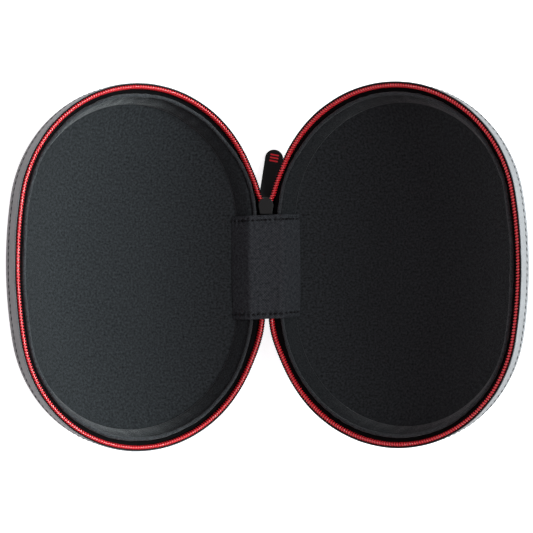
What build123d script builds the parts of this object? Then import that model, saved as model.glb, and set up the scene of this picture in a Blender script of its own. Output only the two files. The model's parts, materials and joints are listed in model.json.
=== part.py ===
"""Zip-around hard case for folding headphones, standing open on its spine.

Row frame: origin on the table under the middle of the case, +X from the base half to the lid half,
+Y along the spine towards the parked slider, +Z up. Units are millimetres.

Each half is drawn in a plane of its own: local x is the distance outward from the hinge line, local y
runs along the spine and local -z is the depth below the rim. Cross-sections are drawn in (inset, depth):
how far a point lies inside the outer wall, and how far below the rim.
"""

from build123d import *
import math
import os

os.makedirs("parts", exist_ok=True)

# Opening
OPEN_ANGLE = 112.8  # between the two rims
RAISED = math.radians((180 - OPEN_ANGLE) / 2)  # how far each rim slopes up from the hinge line

# Outline of a half, square to its rim: an oval of four tangent arcs
HALF_WIDTH = 73.7
HALF_LENGTH = 96.3
END_RADIUS = 71.8
SPINE_GAP = 0.1  # hinge line to outer wall, so that the closed halves clear each other
END_CENTRE = HALF_LENGTH - END_RADIUS
SIDE_RADIUS = (HALF_WIDTH**2 + END_CENTRE**2 - END_RADIUS**2) / (2 * (HALF_WIDTH - END_RADIUS))
SIDE_CENTRE = SIDE_RADIUS - HALF_WIDTH
SIDE_SWEEP = math.degrees(math.atan2(END_CENTRE, SIDE_CENTRE))  # half of a side arc's angle
MIDDLE = SPINE_GAP + HALF_WIDTH  # hinge line to the oval's centre

# Outer profile: straight wall, corner arc, shallow dome, flat back
HALF_DEPTH = 34.5
WALL_HEIGHT = 10.6
CORNER_RADIUS = 8.0
FLAT_INSET = 60.0
DOME_RISE = HALF_DEPTH - WALL_HEIGHT
CORNER_RUN = FLAT_INSET - CORNER_RADIUS
DOME_RADIUS = (CORNER_RUN**2 + DOME_RISE**2 - CORNER_RADIUS**2) / (2 * (DOME_RISE - CORNER_RADIUS))
DOME_CENTRE = HALF_DEPTH - DOME_RADIUS
CORNER_TURN = math.atan2(CORNER_RUN, WALL_HEIGHT - DOME_CENTRE)  # dome's slope where the corner meets it

# Layers, measured inward from the outer surface
SKIN = 0.5  # coated outer fabric
TAPE_INSET = 0.9  # inner face of the zipper tape
SHELL_FLOOR = 5.4  # inner face of the foam under the lining
LINING = 0.8
GLUE = 0.02  # glue line between two layers
SHELL_OUTSIDE = SKIN + GLUE
LINING_UNDER = SHELL_FLOOR + GLUE
SEAM_TOP = 8.4  # side band's lower edge
COVER_TOP = 9.0  # back cover's upper edge
THREAD_INSET = 0.15

# Rim
BAND_TOP = 0.4
TAPE_TOP = 0.2
COIL_TOP = 0.1
COIL_WIDTH = 3.2
COIL_THICKNESS = 2.0
COIL_ROUNDING = 0.8
BINDING_TOP = 3.5
SHELL_TOP = 4.2
SHELL_INSIDE = 5.0  # inset of the foam's inner face at its top
CREASE_INSET = 9.0
PIPING_INSET = 5.95
PIPING_RADIUS = 0.9
LINING_WALL_TOP = 4.5
LINING_WALL_BOTTOM = 13.35

# Spine
PANEL_LOW = -30.3
PANEL_HIGH = 28.2
PANEL_MIDDLE = (PANEL_LOW + PANEL_HIGH) / 2
PANEL_THICKNESS = 0.8
PANEL_EDGE = (0.2, 0.2)  # (distance from the hinge line, depth) of the panel at the fold
PANEL_LIP = (10.1, 1.6)
PANEL_FOOT = (13.0, 13.5)
STITCH_PITCH = 3.2
STITCH_SIZE = (2.2, 0.5)
STITCH_HEIGHT = 0.2
LEG_STITCHES = 2
WALL_STITCHES = 3
STITCH_MARGIN = 2.8  # panel's end to its stitch row
SPINE_RIM_DEPTH = 1.6  # band and tape stay this far below the rim under the panel
STRIP_REACH = 25.8
STRIP_TOP = 1.4
STRIP_BOTTOM = 9.5

# Zipper ends and slider
COIL_LOW = -30.9
COIL_HIGH = 39.8
SLIDER_TAIL = 28.6
SLIDER_ROUND = 33.7
SLIDER_RADIUS = 4.3
SLIDER_TAIL_WIDTH = 6.8
SLIDER_SLOT = 2.6
SLIDER_PLATE = 0.9
SLIDER_RELIEF = 5.0
POST_LENGTH = 3.4
POST_WIDTH = 2.2
BRIDGE_LOW = 31.0
BRIDGE_HIGH = 37.0
BRIDGE_WIDTH = 1.7
BRIDGE_DROP = 2.7
BRIDGE_BAR = 0.8
BRIDGE_BEND = 1.2
SLIDER_ROUNDING = 0.4
RUNNING_GAP = 0.2
STOP_LOW = 26.5
STOP_SIZE = (3.0, 1.7, 1.7)
STOP_RELIEF = 1.9
TOP_STOP_TOP = 2.1
TOP_STOP_MIDDLE = -29.4
TOP_STOP_LENGTH = 1.4

# Pull
PULL_Y = 34.6
PULL_DROP = 3.3  # pull's axis below the hinge line
PULL_LEAN = 11.0  # sideways lean towards the lid
LINK_THICKNESS = 1.0
LINK_BAR = 1.1
LINK_WIDTH = 6.4
LINK_LENGTH = 10.0
TAB_START = 3.6
TAB_ROOT_WIDTH = 9.0
TAB_TIP = 27.4
TAB_RADIUS = 5.2
TAB_THICKNESS = 2.4
TAB_ROUNDING = 0.6
INLAY_SIZE = (5.0, 0.9)
INLAY_PITCH = 1.8
INLAY_COUNT = 3
INLAY_DEPTH = 0.3


def dome_depth(inset, layer):
    """Depth of the surface that lies a layer's distance inside the outer dome."""
    return DOME_CENTRE + math.sqrt((DOME_RADIUS - layer) ** 2 - (FLAT_INSET - inset) ** 2)


# The case rests where the dome's slope equals the rims' rise, which sets the hinge line's height
CONTACT_INSET = FLAT_INSET - DOME_RADIUS * math.sin(RAISED)
CONTACT_DEPTH = dome_depth(CONTACT_INSET, 0)
HINGE_HEIGHT = CONTACT_DEPTH * math.cos(RAISED) - (SPINE_GAP + CONTACT_INSET) * math.sin(RAISED)

HINGE_POINT = (0, 0, HINGE_HEIGHT)
HALVES = {
    "base": Plane(
        HINGE_POINT,
        x_dir=(-math.cos(RAISED), 0, math.sin(RAISED)),
        z_dir=(math.sin(RAISED), 0, math.cos(RAISED)),
    ),
    "lid": Plane(
        HINGE_POINT,
        x_dir=(math.cos(RAISED), 0, math.sin(RAISED)),
        z_dir=(-math.sin(RAISED), 0, math.cos(RAISED)),
    ),
}


def section_plane(half, reach=0.0, along=0.0):
    """Plane square to the spine: x outward from reach, y down into the half."""
    side = half.y_dir.Y
    origin = half.from_local_coords((reach, side * along, 0))
    return Plane(origin, x_dir=half.x_dir, z_dir=half.y_dir)


def wall_section(half):
    """Section plane at the outer wall beside the hinge, where x is the inset."""
    return section_plane(half, SPINE_GAP)


def draw_oval(inset):
    """Draws the oval, moved inward by inset, in the line that is being made."""
    side = SIDE_RADIUS - inset
    end = END_RADIUS - inset
    CenterArc((MIDDLE + SIDE_CENTRE, 0), side, 180 - SIDE_SWEEP, 2 * SIDE_SWEEP)
    CenterArc((MIDDLE, -END_CENTRE), end, 180 + SIDE_SWEEP, 180 - 2 * SIDE_SWEEP)
    CenterArc((MIDDLE - SIDE_CENTRE, 0), side, -SIDE_SWEEP, 2 * SIDE_SWEEP)
    CenterArc((MIDDLE, END_CENTRE), end, SIDE_SWEEP, 180 - 2 * SIDE_SWEEP)


def rim_outline(half):
    """The oval of the outer wall in the plane of the rim, as a path."""
    with BuildLine(half) as outline:
        draw_oval(0)
    return outline.wires()[0]


def flat_plate(half, depth, thickness):
    """Adds the flat middle of a layer, from a depth up towards the rim, to the part being made."""
    with BuildSketch(half.offset(-depth)) as plate:
        with BuildLine():
            draw_oval(FLAT_INSET)
        make_face()
    extrude(plate.sketch, amount=thickness)


def strip_section(half, low_inset, high_inset, top, bottom):
    """Rectangular section of a strip that follows the rim."""
    with BuildSketch(wall_section(half)) as section:
        with Locations(((low_inset + high_inset) / 2, (top + bottom) / 2)):
            Rectangle(high_inset - low_inset, bottom - top)
    return section.sketch


def dome_arc(low_inset, high_inset, layer):
    """Arc of a dome layer between two insets, for the sketch that is being drawn."""
    middle = (low_inset + high_inset) / 2
    return ThreePointArc(
        (low_inset, dome_depth(low_inset, layer)),
        (middle, dome_depth(middle, layer)),
        (high_inset, dome_depth(high_inset, layer)),
    )


def corner_point(turn, layer):
    """Point of a corner layer, where turn is 90 degrees on the wall and falls towards the dome."""
    radius = CORNER_RADIUS - layer
    return (CORNER_RADIUS - radius * math.sin(turn), WALL_HEIGHT + radius * math.cos(turn))


def corner_arc(layer):
    """Arc of a corner layer from the wall down to the dome."""
    return ThreePointArc(
        corner_point(math.pi / 2, layer),
        corner_point((math.pi / 2 + CORNER_TURN) / 2, layer),
        corner_point(CORNER_TURN, layer),
    )


def clear_round(low, high, radius):
    """Cuts a round bar on the hinge line, between two stations, out of the part being made."""
    with BuildSketch(Plane((0, low, HINGE_HEIGHT), z_dir=(0, 1, 0))) as bar:
        Circle(radius)
    extrude(bar.sketch, amount=high - low, mode=Mode.SUBTRACT)


def clear_spine(half, low, high, depth):
    """Cuts the hinge side of the part being made, between two stations, from above the rim to a depth."""
    with BuildSketch(section_plane(half, 0, (low + high) / 2)) as block:
        Rectangle(MIDDLE, 2 * depth)
    extrude(block.sketch, amount=(high - low) / 2, both=True, mode=Mode.SUBTRACT)


def save(piece, name):
    """Labels a finished piece and writes its file."""
    piece.part.label = name
    export_step(piece.part, f"parts/{name}.step")


def make_back_cover(half):
    """Coated fabric over the back: round the corner, over the dome and across the flat middle."""
    with BuildPart() as back_cover:
        with BuildSketch(wall_section(half)) as section:
            with BuildLine():
                outer_corner = corner_arc(0)
                outer_dome = dome_arc(corner_point(CORNER_TURN, 0)[0], FLAT_INSET, 0)
                inner_corner = corner_arc(SKIN)
                inner_dome = dome_arc(corner_point(CORNER_TURN, SKIN)[0], FLAT_INSET, SKIN)
                Polyline(outer_corner @ 0, (0, COVER_TOP), (SKIN, COVER_TOP), inner_corner @ 0)
                Line(outer_dome @ 1, inner_dome @ 1)
            make_face()
        sweep(section.sketch, path=rim_outline(half))
        flat_plate(half, HALF_DEPTH, SKIN)
    return back_cover


def make_foam_shell(half):
    """Moulded foam between the outer fabric and the lining."""
    inner_crease = (CREASE_INSET, dome_depth(CREASE_INSET, SHELL_FLOOR))
    with BuildPart() as foam_shell:
        with BuildSketch(wall_section(half)) as section:
            with BuildLine():
                outer_corner = corner_arc(SHELL_OUTSIDE)
                outer_dome = dome_arc(corner_point(CORNER_TURN, SHELL_OUTSIDE)[0], FLAT_INSET, SHELL_OUTSIDE)
                inner_dome = dome_arc(CREASE_INSET, FLAT_INSET, SHELL_FLOOR)
                Line(outer_dome @ 1, inner_dome @ 1)
                Polyline(
                    outer_corner @ 0,
                    (SHELL_OUTSIDE, SEAM_TOP + GLUE),
                    (TAPE_INSET + GLUE, SEAM_TOP + GLUE),
                    (TAPE_INSET + GLUE, SHELL_TOP),
                    (SHELL_INSIDE, SHELL_TOP),
                    inner_crease,
                )
            make_face()
        sweep(section.sketch, path=rim_outline(half))
        flat_plate(half, HALF_DEPTH - SHELL_OUTSIDE, SHELL_FLOOR - SHELL_OUTSIDE)
    return foam_shell


def make_lining_floor(half):
    """Lining fabric on the domed floor, out to the crease."""
    with BuildPart() as lining_floor:
        with BuildSketch(wall_section(half)) as section:
            with BuildLine():
                under = dome_arc(CREASE_INSET, FLAT_INSET, LINING_UNDER)
                over = dome_arc(CREASE_INSET, FLAT_INSET, LINING_UNDER + LINING)
                Line(under @ 0, over @ 0)
                Line(under @ 1, over @ 1)
            make_face()
        sweep(section.sketch, path=rim_outline(half))
        flat_plate(half, HALF_DEPTH - LINING_UNDER, LINING)
    return lining_floor


def make_lining_wall(half):
    """Lining fabric up the drafted inside of the side wall."""
    crease_depth = dome_depth(CREASE_INSET, SHELL_FLOOR)
    draft = (CREASE_INSET - SHELL_INSIDE) / (crease_depth - SHELL_TOP)
    top_inset = SHELL_INSIDE + GLUE + draft * (LINING_WALL_TOP - SHELL_TOP)
    bottom_inset = SHELL_INSIDE + GLUE + draft * (LINING_WALL_BOTTOM - SHELL_TOP)
    with BuildPart() as lining_wall:
        with BuildSketch(wall_section(half)) as section:
            with BuildLine():
                Polyline(
                    (top_inset, LINING_WALL_TOP),
                    (top_inset + LINING, LINING_WALL_TOP),
                    (bottom_inset + LINING, LINING_WALL_BOTTOM),
                    (bottom_inset, LINING_WALL_BOTTOM),
                    close=True,
                )
            make_face()
        sweep(section.sketch, path=rim_outline(half))
    return lining_wall


def make_lining_piping(half):
    """Rolled upper edge of the lining."""
    with BuildPart() as lining_piping:
        with BuildSketch(wall_section(half)) as section:
            with Locations((PIPING_INSET, BINDING_TOP)):
                Circle(PIPING_RADIUS)
        sweep(section.sketch, path=rim_outline(half))
    return lining_piping


def make_rim_binding(half):
    """Black strip over the foam's edge."""
    with BuildPart() as rim_binding:
        section = strip_section(half, TAPE_INSET + GLUE, SHELL_INSIDE, BINDING_TOP, SHELL_TOP - GLUE)
        sweep(section, path=rim_outline(half))
    return rim_binding


def make_side_band(half):
    """Coated fabric strip round the side wall, low under the hinge panel and round the slider."""
    with BuildPart() as side_band:
        section = strip_section(half, 0, SKIN, BAND_TOP, SEAM_TOP)
        sweep(section, path=rim_outline(half))
        clear_spine(half, PANEL_LOW, SLIDER_TAIL, SPINE_RIM_DEPTH)
        clear_round(SLIDER_TAIL, COIL_HIGH, SLIDER_RELIEF)
    return side_band


def make_zipper_tape(half):
    """Woven tape inside the side band, low under the hinge panel and round the slider."""
    with BuildPart() as zipper_tape:
        section = strip_section(half, SKIN + GLUE, TAPE_INSET, TAPE_TOP, SEAM_TOP)
        sweep(section, path=rim_outline(half))
        clear_spine(half, PANEL_LOW, SLIDER_TAIL, SPINE_RIM_DEPTH)
        clear_round(SLIDER_TAIL, COIL_HIGH, SLIDER_RELIEF)
    return zipper_tape


def make_zipper_coil(half):
    """Coil standing on edge along the tape, from the hinge panel round to the parked slider."""
    with BuildPart() as zipper_coil:
        with BuildSketch(wall_section(half)) as section:
            with Locations((TAPE_INSET + GLUE + COIL_THICKNESS / 2, COIL_TOP + COIL_WIDTH / 2)):
                RectangleRounded(COIL_THICKNESS, COIL_WIDTH, COIL_ROUNDING)
        sweep(section.sketch, path=rim_outline(half))
        clear_spine(half, COIL_LOW, COIL_HIGH, SHELL_TOP)
    return zipper_coil


def make_top_stop(half):
    """Crimped stop on the coil's far end, under the hinge panel."""
    with BuildPart() as top_stop:
        stop_inset = TAPE_INSET + GLUE
        stop_end = stop_inset + COIL_THICKNESS
        section = strip_section(half, stop_inset, stop_end, TOP_STOP_TOP, COIL_TOP + COIL_WIDTH)
        sweep(section, path=rim_outline(half))
        with BuildSketch(section_plane(half, 0, TOP_STOP_MIDDLE)) as keep:
            Rectangle(MIDDLE, HALF_DEPTH)
        extrude(keep.sketch, amount=TOP_STOP_LENGTH / 2, both=True, mode=Mode.INTERSECT)
    return top_stop


def make_seam_thread(half):
    """Stitched seam between the side band and the back cover."""
    with BuildPart() as seam_thread:
        section = strip_section(half, THREAD_INSET, SKIN, SEAM_TOP + GLUE, COVER_TOP - GLUE)
        sweep(section, path=rim_outline(half))
    return seam_thread


def make_spine_strip(half):
    """This half's share of the coated strip over the outside of the fold."""
    with BuildPart() as spine_strip:
        section = strip_section(half, -SKIN, -GLUE, STRIP_TOP, STRIP_BOTTOM)
        sweep(section, path=rim_outline(half))
        with BuildSketch(section_plane(half)) as keep:
            Rectangle(MIDDLE, HALF_DEPTH)
        extrude(keep.sketch, amount=STRIP_REACH, both=True, mode=Mode.INTERSECT)
    return spine_strip


def panel_face(half, start, end):
    """Plane on the panel's open side: origin midway along the face, x along it, y along the spine."""
    middle = ((start[0] + end[0]) / 2, (start[1] + end[1]) / 2)
    section = section_plane(half, 0, PANEL_MIDDLE)
    origin = section.from_local_coords((middle[0], middle[1], 0))
    run = section.from_local_coords((end[0], end[1], 0)) - section.from_local_coords((start[0], start[1], 0))
    return Plane(origin, x_dir=run, z_dir=run.cross(half.y_dir))


def make_hinge_panel(half):
    """This half's share of the fabric panel: from the fold over the lining's edge and down to the crease."""
    lip_under = (PANEL_LIP[0] - PANEL_THICKNESS, PANEL_LIP[1] + PANEL_THICKNESS)
    with BuildPart() as hinge_panel:
        with BuildSketch(section_plane(half, 0, PANEL_MIDDLE)) as section:
            with BuildLine():
                Polyline(
                    PANEL_EDGE,
                    PANEL_LIP,
                    PANEL_FOOT,
                    (PANEL_FOOT[0] - PANEL_THICKNESS, PANEL_FOOT[1]),
                    lip_under,
                    (PANEL_EDGE[0], PANEL_EDGE[1] + PANEL_THICKNESS),
                    close=True,
                )
            make_face()
        extrude(section.sketch, amount=(PANEL_HIGH - PANEL_LOW) / 2, both=True)
        clear_round(STOP_LOW - RUNNING_GAP, PANEL_HIGH, STOP_RELIEF)
    return hinge_panel


def make_panel_thread(half):
    """Stitches in two rows near the panel's ends, on its leg and on its wall."""
    row_spacing = PANEL_HIGH - PANEL_LOW - 2 * STITCH_MARGIN
    with BuildPart() as panel_thread:
        for start, end, count in (
            (PANEL_EDGE, PANEL_LIP, LEG_STITCHES),
            (PANEL_LIP, PANEL_FOOT, WALL_STITCHES),
        ):
            with BuildSketch(panel_face(half, start, end)) as stitches:
                with GridLocations(STITCH_PITCH, row_spacing, count, 2):
                    Rectangle(*STITCH_SIZE)
            extrude(stitches.sketch, amount=STITCH_HEIGHT)
    return panel_thread


HALF_PIECES = {
    "back_cover": make_back_cover,
    "foam_shell": make_foam_shell,
    "lining_floor": make_lining_floor,
    "lining_wall": make_lining_wall,
    "lining_piping": make_lining_piping,
    "rim_binding": make_rim_binding,
    "side_band": make_side_band,
    "zipper_tape": make_zipper_tape,
    "zipper_coil": make_zipper_coil,
    "top_stop": make_top_stop,
    "seam_thread": make_seam_thread,
    "spine_strip": make_spine_strip,
    "hinge_panel": make_hinge_panel,
    "panel_thread": make_panel_thread,
}
for half_name, half in HALVES.items():
    for piece_name, make_piece in HALF_PIECES.items():
        save(make_piece(half), f"{half_name}_{piece_name}")


# Slider, parked at the high end of the spine, midway between the halves
SLIDER_PLANE = Plane(HINGE_POINT)


def draw_slider_plate():
    """Outline of a slider plate: a round nose and a narrower tail."""
    with Locations((0, SLIDER_ROUND)):
        Circle(SLIDER_RADIUS)
    with Locations((0, (SLIDER_TAIL + SLIDER_ROUND) / 2)):
        Rectangle(SLIDER_TAIL_WIDTH, SLIDER_ROUND - SLIDER_TAIL)
    make_hull()


with BuildPart() as slider_body:
    for side in (1, -1):
        with BuildSketch(SLIDER_PLANE.offset(side * SLIDER_SLOT / 2)):
            draw_slider_plate()
        extrude(amount=side * SLIDER_PLATE)
    outer_faces = faces().filter_by(Axis.Z).sort_by(Axis.Z)
    fillet(outer_faces[0].edges() + outer_faces[-1].edges(), radius=SLIDER_ROUNDING)
    with BuildSketch(SLIDER_PLANE.offset(-SLIDER_SLOT / 2)):
        with Locations((0, SLIDER_ROUND + SLIDER_RADIUS - POST_LENGTH / 2)):
            Ellipse(POST_WIDTH / 2, POST_LENGTH / 2)
    extrude(amount=SLIDER_SLOT)
save(slider_body, "slider_body")

with BuildPart() as slider_bridge:
    bridge_top = -SLIDER_SLOT / 2 - SLIDER_PLATE
    with BuildSketch(Plane((0, 0, HINGE_HEIGHT), x_dir=(0, 1, 0), z_dir=(1, 0, 0))):
        with BuildLine():
            FilletPolyline(
                (BRIDGE_LOW, bridge_top),
                (BRIDGE_LOW, bridge_top - BRIDGE_DROP),
                (BRIDGE_HIGH, bridge_top - BRIDGE_DROP),
                (BRIDGE_HIGH, bridge_top),
                radius=BRIDGE_BEND,
            )
            Polyline(
                (BRIDGE_LOW, bridge_top),
                (BRIDGE_LOW + BRIDGE_BAR, bridge_top),
                (BRIDGE_LOW + BRIDGE_BAR, bridge_top - BRIDGE_DROP + BRIDGE_BAR),
                (BRIDGE_HIGH - BRIDGE_BAR, bridge_top - BRIDGE_DROP + BRIDGE_BAR),
                (BRIDGE_HIGH - BRIDGE_BAR, bridge_top),
                (BRIDGE_HIGH, bridge_top),
            )
        make_face()
    extrude(amount=BRIDGE_WIDTH / 2, both=True)
save(slider_bridge, "slider_bridge")

with BuildPart() as bottom_stop:
    with Locations((0, STOP_LOW + STOP_SIZE[1] / 2, HINGE_HEIGHT)):
        Box(*STOP_SIZE)
    fillet(edges().filter_by(Axis.Y), radius=SLIDER_ROUNDING)
save(bottom_stop, "bottom_stop")


# Pull: hangs from the bridge, leaning towards the lid, with its tip on the table
PULL_AXIS_HEIGHT = HINGE_HEIGHT - PULL_DROP
TAB_END = TAB_TIP + TAB_RADIUS
TIP_CORNER = math.hypot(TAB_END, TAB_THICKNESS / 2)  # pull's axis to the tip's lower edge
PULL_SLOPE = math.asin(PULL_AXIS_HEIGHT / TIP_CORNER) - math.atan2(TAB_THICKNESS / 2, TAB_END)
LEAN = math.radians(PULL_LEAN)
PULL_CROSS = Vector(math.cos(LEAN), -math.sin(LEAN), 0)
LEVEL_DIRECTION = Vector(math.sin(LEAN), math.cos(LEAN), 0)
PULL_DIRECTION = LEVEL_DIRECTION * math.cos(PULL_SLOPE) - Vector(0, 0, math.sin(PULL_SLOPE))
PULL_PLANE = Plane(
    (0, PULL_Y, PULL_AXIS_HEIGHT),
    x_dir=PULL_CROSS,
    z_dir=PULL_CROSS.cross(PULL_DIRECTION),
)


with BuildPart() as pull_link:
    with BuildSketch(PULL_PLANE.offset(-LINK_THICKNESS / 2)):
        window_width = LINK_WIDTH - 2 * LINK_BAR
        window_length = LINK_LENGTH - 2 * LINK_BAR
        with Locations((0, LINK_LENGTH / 2 - LINK_BAR / 2)):
            RectangleRounded(LINK_WIDTH, LINK_LENGTH, LINK_BAR / 2)
            RectangleRounded(window_width, window_length, LINK_BAR / 2, mode=Mode.SUBTRACT)
    extrude(amount=LINK_THICKNESS)
save(pull_link, "pull_link")

INLAY_PLANE = PULL_PLANE.offset(TAB_THICKNESS / 2)


def draw_inlay():
    """Bars across the tab's tip."""
    with Locations((0, TAB_TIP)):
        with GridLocations(0, INLAY_PITCH, 1, INLAY_COUNT):
            SlotOverall(*INLAY_SIZE)


with BuildPart() as pull_tab:
    with BuildSketch(PULL_PLANE.offset(-TAB_THICKNESS / 2)):
        with Locations((0, TAB_TIP)):
            Circle(TAB_RADIUS)
        with Locations((0, (TAB_START + TAB_TIP) / 2)):
            Rectangle(TAB_ROOT_WIDTH, TAB_TIP - TAB_START)
        make_hull()
    extrude(amount=TAB_THICKNESS)
    tip_edges = edges().filter_by(GeomType.CIRCLE).sort_by_distance(PULL_PLANE.origin)[-2:]
    fillet(tip_edges, radius=TAB_ROUNDING)
    with BuildSketch(INLAY_PLANE):
        draw_inlay()
    extrude(amount=-INLAY_DEPTH, mode=Mode.SUBTRACT)
    add(pull_link.part, mode=Mode.SUBTRACT)
save(pull_tab, "pull_tab")

with BuildPart() as pull_inlay:
    with BuildSketch(INLAY_PLANE):
        draw_inlay()
    extrude(amount=-INLAY_DEPTH)
save(pull_inlay, "pull_inlay")

print(f"hinge line {HINGE_HEIGHT:.3f} mm above the table, axis of the pull at {PULL_AXIS_HEIGHT:.3f} mm")
print(f"pull axis direction {tuple(PULL_CROSS)}, slope {math.degrees(PULL_SLOPE):.2f} degrees")
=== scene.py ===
"""Looks of an open zip-around headphone case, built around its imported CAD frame.

Lengths are in millimetres until a mesh is made. Each half has coordinates of its own: u outward from
the hinge line in the plane of its rim, v along the spine, and depth below the rim. A point of a wall is
given by its distance round the rim, from the middle of the spine past the slider and on round, by its
inset from the outer wall, and by its depth.
"""

import json
import math

import bmesh
import bpy
import numpy as np
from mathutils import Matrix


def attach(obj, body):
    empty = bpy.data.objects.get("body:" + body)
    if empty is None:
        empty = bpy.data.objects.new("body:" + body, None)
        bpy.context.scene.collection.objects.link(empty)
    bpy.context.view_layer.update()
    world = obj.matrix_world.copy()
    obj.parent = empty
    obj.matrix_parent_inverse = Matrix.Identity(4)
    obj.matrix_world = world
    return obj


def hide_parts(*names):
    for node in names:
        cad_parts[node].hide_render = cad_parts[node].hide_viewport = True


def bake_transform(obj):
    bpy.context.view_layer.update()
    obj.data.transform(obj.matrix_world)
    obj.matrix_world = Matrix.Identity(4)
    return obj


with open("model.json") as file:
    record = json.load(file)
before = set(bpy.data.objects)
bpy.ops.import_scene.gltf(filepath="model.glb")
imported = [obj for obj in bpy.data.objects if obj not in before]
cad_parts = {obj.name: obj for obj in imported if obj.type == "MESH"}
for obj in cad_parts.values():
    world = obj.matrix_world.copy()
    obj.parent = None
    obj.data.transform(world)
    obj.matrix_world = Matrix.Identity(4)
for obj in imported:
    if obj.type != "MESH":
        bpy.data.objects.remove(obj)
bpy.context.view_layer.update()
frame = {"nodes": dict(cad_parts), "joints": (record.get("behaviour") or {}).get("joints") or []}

MM = 0.001
HALVES = {"base": -1, "lid": 1}

# Hinge, from the frame
lid_hinge = next(joint for joint in frame["joints"] if joint["name"] == "lid_hinge")
HINGE_Z = lid_hinge["pos_m"][2] / MM
RAISED = math.radians(180 - lid_hinge["range_deg"][1]) / 2  # each rim's slope up from the hinge line

# Outline of a half: an oval of four tangent arcs
HALF_WIDTH = 73.7
HALF_LENGTH = 96.3
END_RADIUS = 71.8
MIDDLE = HALF_WIDTH + 0.1  # hinge line to the oval's centre
END_CENTRE = HALF_LENGTH - END_RADIUS
SIDE_RADIUS = (HALF_WIDTH**2 + END_CENTRE**2 - END_RADIUS**2) / (2 * (HALF_WIDTH - END_RADIUS))
SIDE_CENTRE = SIDE_RADIUS - HALF_WIDTH
SIDE_SWEEP = math.atan2(END_CENTRE, SIDE_CENTRE)

# Outer profile
HALF_DEPTH = 34.5
WALL_HEIGHT = 10.6
CORNER_RADIUS = 8.0
FLAT_INSET = 60.0
CORNER_RUN = FLAT_INSET - CORNER_RADIUS
DOME_RISE = HALF_DEPTH - WALL_HEIGHT
DOME_RADIUS = (CORNER_RUN**2 + DOME_RISE**2 - CORNER_RADIUS**2) / (2 * (DOME_RISE - CORNER_RADIUS))
DOME_CENTRE = HALF_DEPTH - DOME_RADIUS
CORNER_TURN = math.atan2(CORNER_RUN, WALL_HEIGHT - DOME_CENTRE)

# Layers
SKIN = 0.5
LINING_FACE = 6.22  # outer surface to the lining's face over the dome
LINING_THICKNESS = 0.5
SEAM_DEPTH = 8.7
BAND_TOP = 0.4
BAND_BOTTOM = 8.4
TAPE_TOP = 0.2
COIL_INSET = 1.92
COIL_DEPTH = 1.7
COIL_HALF_WIDTH = 1.15
COIL_HALF_HEIGHT = 1.6
COIL_WIRE = 0.4
COIL_PITCH = 1.5
PIPING = (5.95, 3.5, 0.9)  # inset, depth and radius
CREASE = (9.4, 13.3)

# Spine
PANEL_LOW = -30.3
PANEL_HIGH = 28.2
COIL_LOW = -29.6
COIL_HIGH = 36.7
SLIDER_LOW = 28.6
SLIDER_RELIEF = 5.0
SLIDER_HIGH = 39.8
RIM_UNDER_PANEL = 1.6
SPINE_LEAN = 1.7  # the zipper's lean over the spine beside the panel
SLIDER_LEAN = 1.0  # and its further lean at the slider
EDGE_LAP = {"base": 1.9, "lid": 0.95}  # lining edge over the binding beside the slider


# ---------------------------------------------------------------- places

ARC_CENTRES = np.array(
    [
        (MIDDLE + SIDE_CENTRE, 0),
        (MIDDLE, END_CENTRE),
        (MIDDLE - SIDE_CENTRE, 0),
        (MIDDLE, -END_CENTRE),
        (MIDDLE + SIDE_CENTRE, 0),
    ]
)
ARC_RADII = np.array([SIDE_RADIUS, END_RADIUS, SIDE_RADIUS, END_RADIUS, SIDE_RADIUS])
ARC_ANGLES = np.array(
    [math.pi, math.pi - SIDE_SWEEP, SIDE_SWEEP, -SIDE_SWEEP, SIDE_SWEEP - math.pi, -math.pi]
)
ARC_STARTS = np.concatenate([[0], np.cumsum(-np.diff(ARC_ANGLES) * ARC_RADII)])
RIM_LENGTH = ARC_STARTS[-1]


def smooth(x, low, high):
    """0 below low, 1 above high and a smooth step between."""
    t = np.clip((x - low) / (high - low), 0, 1)
    return t * t * (3 - 2 * t)


def wall_point(distance, inset):
    """(u, v) of the outline at a distance round the rim, moved inward by inset."""
    distance = np.mod(distance, RIM_LENGTH)
    arc = np.clip(np.searchsorted(ARC_STARTS, distance, side="right") - 1, 0, len(ARC_RADII) - 1)
    angle = ARC_ANGLES[arc] - (distance - ARC_STARTS[arc]) / ARC_RADII[arc]
    reach = ARC_RADII[arc] - inset
    return ARC_CENTRES[arc, 0] + reach * np.cos(angle), ARC_CENTRES[arc, 1] + reach * np.sin(angle)


def station(v):
    """Distance round the rim at which the spine side has this v."""
    distances = np.linspace(-RIM_LENGTH / 5, RIM_LENGTH / 5, 2001)
    return np.interp(v, wall_point(distances, 0)[1], distances)


def half_point(side, u, v, depth):
    """Point in the part's frame, in millimetres, from a half's own coordinates."""
    x = side * (u * math.cos(RAISED) + depth * math.sin(RAISED))
    z = HINGE_Z + u * math.sin(RAISED) - depth * math.cos(RAISED)
    x, y, z = np.broadcast_arrays(x, v, z)
    return np.stack([x, y, z], -1)


def dome_depth(inset, layer):
    """Depth of the surface a layer's distance inside the outer dome."""
    inset = np.minimum(inset, FLAT_INSET)
    return DOME_CENTRE + np.sqrt((DOME_RADIUS - layer) ** 2 - (FLAT_INSET - inset) ** 2)


def zipper_pull_in(u, v, depth):
    """How far the zipper leans in over the spine beside the hinge panel, where no foam holds it out."""
    lean = SPINE_LEAN * smooth(abs(v), 8, 31) * (1 - smooth(abs(v), 34, 58))
    at_slider = SLIDER_LEAN * smooth(-v, -40.5, -36.5) * smooth(v, 20, 30)
    spine_side = 1 - smooth(u, MIDDLE * 0.5, MIDDLE)
    return (lean + at_slider) * spine_side * (1 - smooth(depth, 4, 8.5))


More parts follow.
